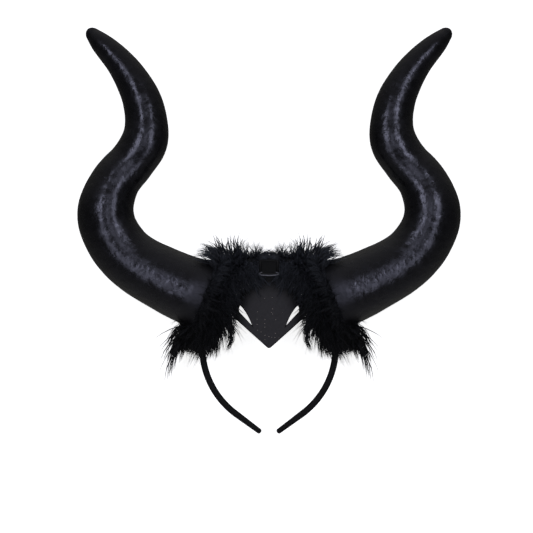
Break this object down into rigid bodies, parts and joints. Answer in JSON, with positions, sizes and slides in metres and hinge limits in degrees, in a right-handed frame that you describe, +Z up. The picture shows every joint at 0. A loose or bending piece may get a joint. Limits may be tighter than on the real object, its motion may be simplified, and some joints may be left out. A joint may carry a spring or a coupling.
{
  "type": "horn headband",
  "caption": "Costume headband: a slim black hair band with large S-curved foam horns, fur trim over their feet and a pointed slit peak over the brow.",
  "frame": {"origin": "middle of the footprint, on the floor under the headband as it lies on its back", "axes": "+X to the right seen from the front, +Y from the band's ends to the horns' tips, +Z up, out of the front"},
  "size_m": [0.3514, 0.3722, 0.065],
  "materials": {
    "band_cloth": "matt black cloth wrapped over a plastic band",
    "horn_foam": "satin black moulded foam skin",
    "fur": "black deep-pile fur",
    "peak_sheet": "matt dark-grey foam sheet",
    "loop_strap": "soft black coated strap with a glossy rolled edge"
  },
  "bodies": {
    "root": {"hair_band": "band_cloth", "horn_left": "horn_foam", "horn_right": "horn_foam", "fur_left": "fur", "fur_right": "fur", "forehead_peak": "peak_sheet", "crown_loop": "loop_strap"}
  },
  "joints": []
}
